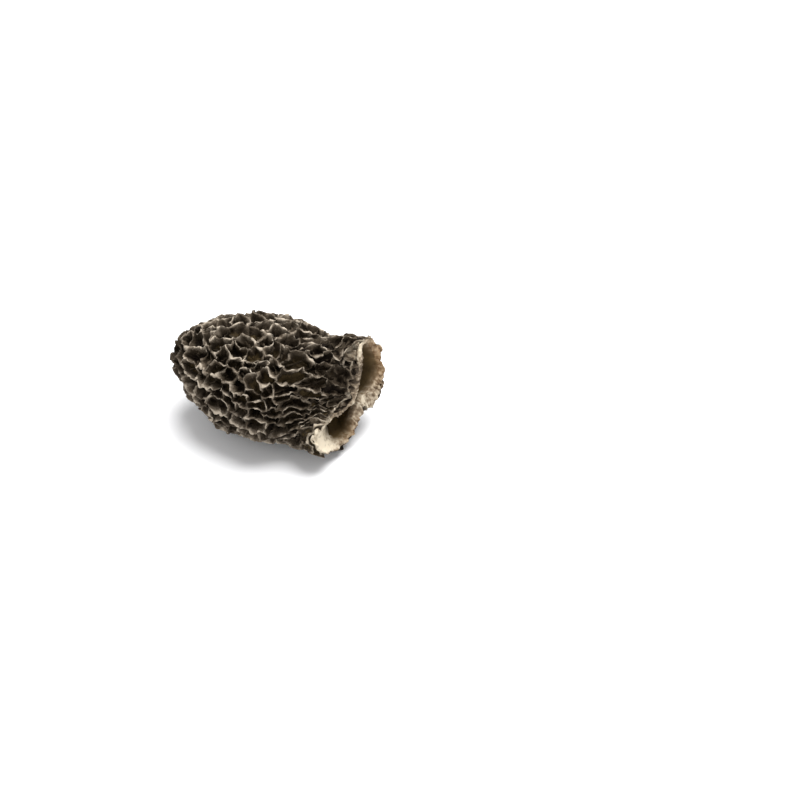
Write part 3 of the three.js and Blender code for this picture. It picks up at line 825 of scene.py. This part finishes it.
# A ring of the stem. Its rim flares, waves and is pleated, least at the end of the lower lobe.
def stemRing(surface, share, side, swell):
    h = hollowSizes
    outside = (side + 1) / 2
    inside = 1.0 if side < 0 else 0.0
    behindRim = (1 - share) * mouthSizes["stubLength"] * inside
    ring = []
    for turn in turnsRound(h["sides"]):
        lobe = nearTo("lobe", turn)
        length = mouthSizes["stubLength"] * share + h["edgeWave"] * share * math.sin(h["edgeWaves"] * turn)
        flare = h["flare"] * share * share + h["flareWave"] * share * math.sin(h["flareWaves"] * turn + 1)
        wide = foldAt(turn) * outside - curlAt(turn) * mix(1, h["curlOutside"], outside)
        wall = side * mouthSizes["stemWall"] / 2 * mix(1, h["rimThinning"], share)
        y, z = mouthAt(turn, wall + flare + wide)
        flat = Vector((bodySizes["capLength"] + length + swell + cutShift(y, z), y, z))
        point = crumple(closeFlap(flat, behindRim), 0)
        pleat = math.sin(h["pleats"] * turn + roughAt("pleatSway", point))
        pleat *= smooth(*h["pleatEdge"], roughAt("pleatPatch", point)) * mix(1, h["lobePleats"], lobe)
        point.x += h["pleatHeight"] * pleat * share
        point += roughVectorAt("rimFrill", point) * share
        point += roughVectorAt("rimGrain", point) * share * mix(1, h["lobeGrain"], lobe)
        bare = 1
        if side == 1:
            atBand = nearTo("band", turn)
            knob = knobAt(point)
            point.x += h["knobHeight"] * (knob - h["bandMiddle"]) * atBand
            bare = max(smooth(*h["bareSpan"], share), h["stemKnobs"] * atBand * knob)
        if side > 0:
            # painted shade: below the lower lobe the outside loses its cream and takes the collar's dark
            # shade
            bare *= 1 - h["underShade"] * nearTo("under", turn)
        ring.append((turn, addFlesh(surface, point, turn, behindRim, bare, inside, pleat)))
    return ring


# A ring of the hollow, which follows the surface outside but leaves out the pits and the fold.
def hollowRing(surface, s):
    h = hollowSizes
    atNeck = towardsCut(*h["neckSpan"], s)
    deep = depthAt(s) * h["fleshShare"] + h["flesh"]
    depth = mix(deep, mouthSizes["marginStep"] + mouthSizes["stemWall"], atNeck)
    behindRim = surfaceLength - s + mouthSizes["stubLength"]
    ring = []
    for turn in turnsRound(h["sides"]):
        base = surfaceAt(s, turn, False)
        fold = abs(roughAt("hollowFold", base)) * (1 - atNeck) + roughAt("hollowGrain", base)
        fold += curlAt(turn) * (1 - h["curlOutside"]) * atNeck ** h["curlInPower"]
        point = closeFlap(base - outwardAt(s, turn, False) * (depth + fold), behindRim)
        ring.append(addFlesh(surface, crumple(point, 0), turn, behindRim, 1, 1))
    return ring


# From the net's edge over the rim and through the hollow to its far end.
def addStemAndHollow(surface, margin):
    h = hollowSizes
    skirt = [[(top["turn"] % fullTurn, top["index"]) for top in margin]]
    for drop, step, rise in h["skirt"]:
        skirt.append(skirtLoop(surface, margin, drop, step, rise))
    for outer, inner in zip(skirt, skirt[1:]):
        surface.band(indicesOf(outer), indicesOf(inner))
    stem = [stemRing(surface, *place) for place in h["stem"]]
    joins = [foldedRing(surface, skirt[-1], stem[0], share) for share in h["joins"]]
    zipLoops(surface, skirt[-1], joins[0])
    rings = [indicesOf(ring) for ring in joins + stem]
    for i in range(1, h["rings"] + 1):
        s = mix(surfaceLength - h["mouthEnd"], h["tipEnd"], i / h["rings"])
        rings.append(hollowRing(surface, s))
    for outer, inner in zip(rings, rings[1:]):
        surface.band(outer, inner)
    inset = Vector((netSizes["tipPitDepth"] + h["endInset"], 0, 0))
    end = crumple(surfaceAt(h["endFrom"], 0), 0) + inset
    surface.fan(rings[-1], surface.add(end, h["endTint"], 0, 1.0))
    print("stem and hollow:", len(skirt) + len(rings), "rings")


# Leans the body on its lowest ribs and fits it to the box that the frame gives, in metres.
def setDown(points, low, high):
    lean = Matrix.Rotation(bodySizes["restPitch"], 3, "Y")
    turned = [lean @ p for p in points]
    least = [min(p[k] for p in turned) for k in range(3)]
    most = [max(p[k] for p in turned) for k in range(3)]
    placed = []
    for p in turned:
        x, y = [low[k] + (p[k] - least[k]) / (most[k] - least[k]) * (high[k] - low[k]) for k in (0, 1)]
        placed.append(Vector((x, y, max(high[2] - (most[2] - p.z) * mm, low[2]))))
    return placed


# Pits and ridges first, then the pits' walls and floors, then the stem and the hollow.
def makeSurface():
    random = makeRandom(netSizes["netSeed"])
    detail = makeRandom(crumpleSizes["detailSeed"])
    pits, beyond = placePits(random)
    corners, rings = findBorders(pits, beyond)
    joined, places = joinCorners(corners, rings)
    surface = FineSurface()
    tops, ridges = layRidges(surface, joined, places, len(pits), random)
    print("net:", len(pits), "pits,", len(ridges), "ridges")
    for ring in joined:
        middle = Vector((0, 0, 0))
        for corner, _ in ring:
            middle += corners[corner]
        addPit(surface, loopOf(ring, tops, ridges), middle.normalized(), random, detail)
    addStemAndHollow(surface, marginOf(joined, tops, ridges, len(pits)))
    return surface


def makeMorel():
    surface = makeSurface()
    low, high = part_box("morel")
    mesh = bpy.data.meshes.new("morelFlesh")
    mesh.from_pydata(setDown(surface.points, low, high), [], surface.faces)
    attributes = {"tint": surface.tints, "tone": surface.tones, "cream": surface.creams,
                  "inside": surface.insides, "rust": surface.rusts}
    for name, values in attributes.items():
        mesh.attributes.new(name, "FLOAT", "POINT").data.foreach_set("value", values)
    morel = bpy.data.objects.new("morelFlesh", mesh)
    bpy.context.collection.objects.link(morel)
    bpy.ops.object.select_all(action="DESELECT")
    bpy.context.view_layer.objects.active = morel
    morel.select_set(True)
    bpy.ops.object.shade_smooth()
    print("morel:", sum(len(p.vertices) - 2 for p in mesh.polygons), "triangles")
    return morel


# The colours of the flesh, and how noise and attributes share in them.
fleshLook = {
    # pitDark and wallDark are near black partly as painted shade deep in the pits
    "pitDark": (0.006, 0.003, 0.001), "pitOlive": (0.055, 0.037, 0.015),
    "wallDark": (0.01, 0.006, 0.002), "wallGrey": (0.055, 0.041, 0.027),
    "crestGrey": (0.185, 0.152, 0.116), "crestPale": (0.42, 0.36, 0.285),
    "rimBrown": (0.06, 0.044, 0.03), "rimTan": (0.24, 0.185, 0.128), "cream": (0.64, 0.56, 0.43),
    "rustDark": (0.11, 0.055, 0.02), "rustPale": (0.31, 0.2, 0.105),
    # the hollow's colours are its flesh darkened as painted shade inside it
    "hollowDark": (0.045, 0.028, 0.012), "hollowTan": (0.1, 0.066, 0.026),
    "broad": (170, 3), "fine": (1100, 4), "grain": (4200, 3),  # each cloud's scale and detail
    "pitStops": (0.35, 1.0), "netStops": (0.2, 0.55, 0.82, 1.0), "floorStops": (0.08, 0.3),
    "creamStops": (0.25, 0.55, 0.9), "rustStops": (0.2, 0.75), "hollowStops": (0.3, 0.65),
    # each sum: what it starts from, then the share of each value
    "pitTone": (-0.35, 1.2, 0.5), "netHeight": (-0.62, 1.0, 0.6, 0.24, 0.4), "mottle": (-0.8, 0.7, 1.5, 0.8),
    "bump": (0.0, 0.6, 0.4),
    "roughness": 0.8, "specular": 0.12, "bumpStrength": 0.8, "bumpDepth": 0.18 * mm,
}


def addNode(tree, kind, place, **values):
    node = tree.nodes.new(kind)
    node.location = place
    for name, value in values.items():
        setattr(node, name, value)
    return node


def makeFlesh():
    look = fleshLook
    material = bpy.data.materials.new("driedFlesh")
    material.use_nodes = True
    tree = material.node_tree
    tree.nodes.clear()
    link = tree.links.new
    output = addNode(tree, "ShaderNodeOutputMaterial", (1500, 0))
    shader = addNode(tree, "ShaderNodeBsdfPrincipled", (1200, 0))
    link(shader.outputs["BSDF"], output.inputs["Surface"])
    place = addNode(tree, "ShaderNodeTexCoord", (-1400, 0))

    def read(name, at):
        return addNode(tree, "ShaderNodeAttribute", at, attribute_name=name).outputs["Fac"]

    def cloud(name, at):
        texture = addNode(tree, "ShaderNodeTexNoise", at)
        texture.inputs["Scale"].default_value, texture.inputs["Detail"].default_value = look[name]
        link(place.outputs["Object"], texture.inputs["Vector"])
        return texture.outputs["Fac"]

    def sumOf(name, at, *values):
        base, *shares = look[name]
        total = None
        for k, (value, share) in enumerate(zip(values, shares)):
            node = addNode(tree, "ShaderNodeMath", (at[0] + 160 * k, at[1]), operation="MULTIPLY_ADD")
            node.inputs[1].default_value = share
            link(value, node.inputs[0])
            if total is None:
                node.inputs[2].default_value = base
            else:
                link(total, node.inputs[2])
            total = node.outputs[0]
        return total

    def colored(value, stops, colors, at):
        ramp = addNode(tree, "ShaderNodeValToRGB", at)
        elements = ramp.color_ramp.elements
        while len(elements) < len(colors):
            elements.new(0.5)
        for element, stop, color in zip(elements, look[stops], colors):
            element.position = stop
            element.color = (*color, 1)
        link(value, ramp.inputs["Fac"])
        return ramp.outputs["Color"]

    def named(*names):
        return [look[name] for name in names]

    def blend(factor, first, second, at):
        node = addNode(tree, "ShaderNodeMix", at, data_type="RGBA")
        link(factor, node.inputs["Factor"])
        link(first, node.inputs[6])  # the node's two colours, then its mixed colour
        link(second, node.inputs[7])
        return node.outputs[2]

    tint = read("tint", (-1100, 500))
    tone = read("tone", (-1100, 350))
    cream = read("cream", (-1100, 200))
    inside = read("inside", (-1100, 50))
    rust = read("rust", (-1100, -100))
    broad = cloud("broad", (-1100, -300))  # over a few millimetres
    fine = cloud("fine", (-1100, -550))
    grain = cloud("grain", (-1100, -800))

    # the outside: olive floors, dark walls and pale crests; floors and walls darken with depth as painted
    # shade, the crests' paleness is their dried colour
    pitTone = sumOf("pitTone", (-800, 500), tone, broad)
    floorColor = colored(pitTone, "pitStops", named("pitDark", "pitOlive"), (-300, 550))
    height = sumOf("netHeight", (-800, 250), tint, fine, broad, grain)
    walls = named("wallDark", "wallGrey", "crestGrey", "crestPale")
    netColor = colored(height, "netStops", walls, (-300, 300))
    onFloor = colored(height, "floorStops", [(1, 1, 1), (0, 0, 0)], (-300, 50))
    outside = blend(onFloor, netColor, floorColor, (100, 300))

    # the cut flesh is cream, and brown where it has rusted; the gutter's brown is painted shade, and the
    # hollow is tan, darkened as painted shade inside it
    mottle = sumOf("mottle", (-800, -100), broad, fine, tone)
    creamColor = colored(mottle, "creamStops", named("rimBrown", "rimTan", "cream"), (-300, -100))
    rustColor = colored(mottle, "rustStops", named("rustDark", "rustPale"), (-300, -250))
    rimColor = blend(rust, creamColor, rustColor, (100, -150))
    hollowColor = colored(broad, "hollowStops", named("hollowDark", "hollowTan"), (-300, -400))
    body = blend(inside, outside, hollowColor, (350, 200))
    link(blend(cream, body, rimColor, (600, 100)), shader.inputs["Base Color"])

    shader.inputs["Roughness"].default_value = look["roughness"]
    shader.inputs["Specular IOR Level"].default_value = look["specular"]
    bump = addNode(tree, "ShaderNodeBump", (900, -300))
    bump.inputs["Strength"].default_value = look["bumpStrength"]
    bump.inputs["Distance"].default_value = look["bumpDepth"]
    link(sumOf("bump", (300, -500), fine, grain), bump.inputs["Height"])
    link(bump.outputs["Normal"], shader.inputs["Normal"])
    print("material:", material.name)
    return material


# The studio, in metres, and the camera's place round the morel in degrees.
studio = {
    "floorSize": 3.0, "floorColor": (0.86, 0.86, 0.87), "floorRoughness": 0.8,
    "lens": 85.0, "sensorWidth": 36, "clipStart": 0.01, "azimuth": 19.0, "elevation": 42.0,
    "pixelsPerMetre": 5170.0, "pictureSize": 800, "objectPixel": (271.0, 377.0),
    "key": {"place": (0.1, 0.3, 0.88), "size": 0.85, "energy": 16},
    "fill": {"place": (-0.3, -0.8, 0.6), "size": 0.8, "energy": 2},
    "airColor": (1, 1, 1, 1), "airStrength": 0.6,
}


def addFloor():
    bpy.ops.object.select_all(action="DESELECT")
    bpy.ops.mesh.primitive_plane_add(size=studio["floorSize"])
    floor = bpy.context.object
    floor.name = "floor"
    material = bpy.data.materials.new("paleFloor")
    material.use_nodes = True
    shader = material.node_tree.nodes["Principled BSDF"]
    shader.inputs["Base Color"].default_value = (*studio["floorColor"], 1)
    shader.inputs["Roughness"].default_value = studio["floorRoughness"]
    floor.data.materials.append(material)


def addLight(name, aim):
    light = bpy.data.lights.new(name, "AREA")
    light.shape = "DISK"
    light.size = studio[name]["size"]
    light.energy = studio[name]["energy"]
    lamp = bpy.data.objects.new(name, light)
    bpy.context.collection.objects.link(lamp)
    lamp.location = studio[name]["place"]
    lamp.rotation_euler = (aim - lamp.location).to_track_quat("-Z", "Y").to_euler()


# Aims the camera so that the target falls on its own pixel of the picture.
def addCamera(target):
    azimuth, elevation = math.radians(studio["azimuth"]), math.radians(studio["elevation"])
    flat = math.cos(elevation)
    right = Vector((math.cos(azimuth), math.sin(azimuth), 0))
    back = Vector((math.sin(azimuth) * flat, -math.cos(azimuth) * flat, math.sin(elevation)))
    up = back.cross(right)
    focal = studio["lens"] / studio["sensorWidth"] * studio["pictureSize"]
    distance = focal / studio["pixelsPerMetre"]
    half = studio["pictureSize"] / 2
    offX = (studio["objectPixel"][0] - half) / studio["pixelsPerMetre"]
    offY = (half - studio["objectPixel"][1]) / studio["pixelsPerMetre"]
    data = bpy.data.cameras.new("camera")
    data.lens = studio["lens"]
    data.sensor_width = studio["sensorWidth"]
    data.clip_start = studio["clipStart"]
    camera = bpy.data.objects.new("camera", data)
    bpy.context.collection.objects.link(camera)
    camera.matrix_world = Matrix((right, up, back)).transposed().to_4x4()
    camera.location = target - right * offX - up * offY + back * distance
    bpy.context.scene.camera = camera


def fillWithAir():
    world = bpy.data.worlds.new("studioAir")
    world.use_nodes = True
    background = world.node_tree.nodes["Background"]
    background.inputs["Color"].default_value = studio["airColor"]
    background.inputs["Strength"].default_value = studio["airStrength"]
    bpy.context.scene.world = world
    bpy.context.scene.view_settings.view_transform = "Standard"


low, high = [Vector(corner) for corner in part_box("morel")]
middle = (low + high) / 2
morel = makeMorel()
morel.data.materials.append(makeFlesh())
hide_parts("morel")
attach(morel, "root")
addFloor()
addCamera(middle)
addLight("key", middle)
addLight("fill", middle)
fillWithAir()
print("studio: floor, camera and two lights")
